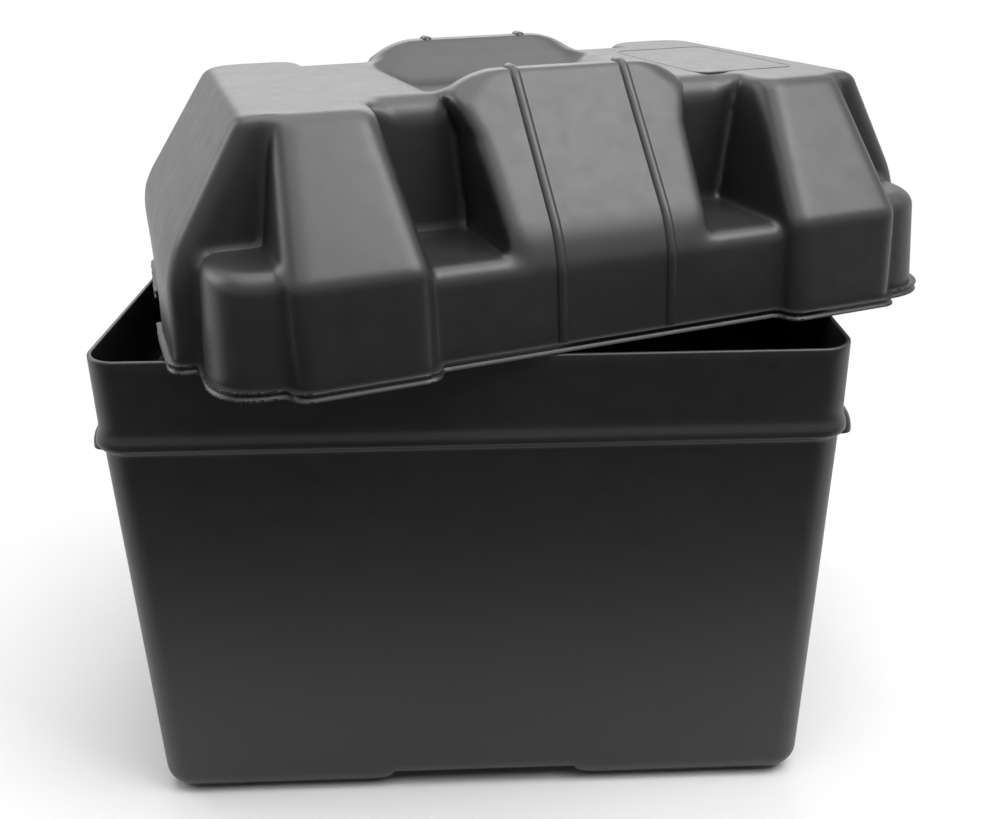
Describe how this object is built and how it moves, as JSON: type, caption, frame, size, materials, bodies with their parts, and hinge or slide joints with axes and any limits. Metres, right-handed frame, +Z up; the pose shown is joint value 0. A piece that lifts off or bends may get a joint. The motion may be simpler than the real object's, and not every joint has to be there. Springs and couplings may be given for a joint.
{
  "type": "battery box",
  "caption": "Open moulded plastic battery tub with a deep rim band, end grips and a strap channel underneath; its loose stepped lid lies askew across the rim",
  "frame": {"origin": "centre of the bounding box of tub and lid seen from above, on the surface that the tub's feet stand on", "axes": "+Z up; +X along the tub's long side, to the right as seen from the front; -Y is the front, the long side that faces the camera in the picture. The lid is turned 20.7 degrees about +Z from the tub."},
  "size_m": [0.4562, 0.3818, 0.3989],
  "materials": {
    "tub_plastic": "fine matt moulded texture, near black",
    "lid_plastic": "fine matt moulded texture, near black"
  },
  "bodies": {
    "tub": {"box_tub": "tub_plastic"},
    "lid": {"box_lid": "lid_plastic"}
  },
  "joints": [
    {"name": "lid_lift", "type": "slide", "parent": "tub", "child": "lid", "axis": [0, 0, 1], "range_m": [0, 0.16]}
  ]
}
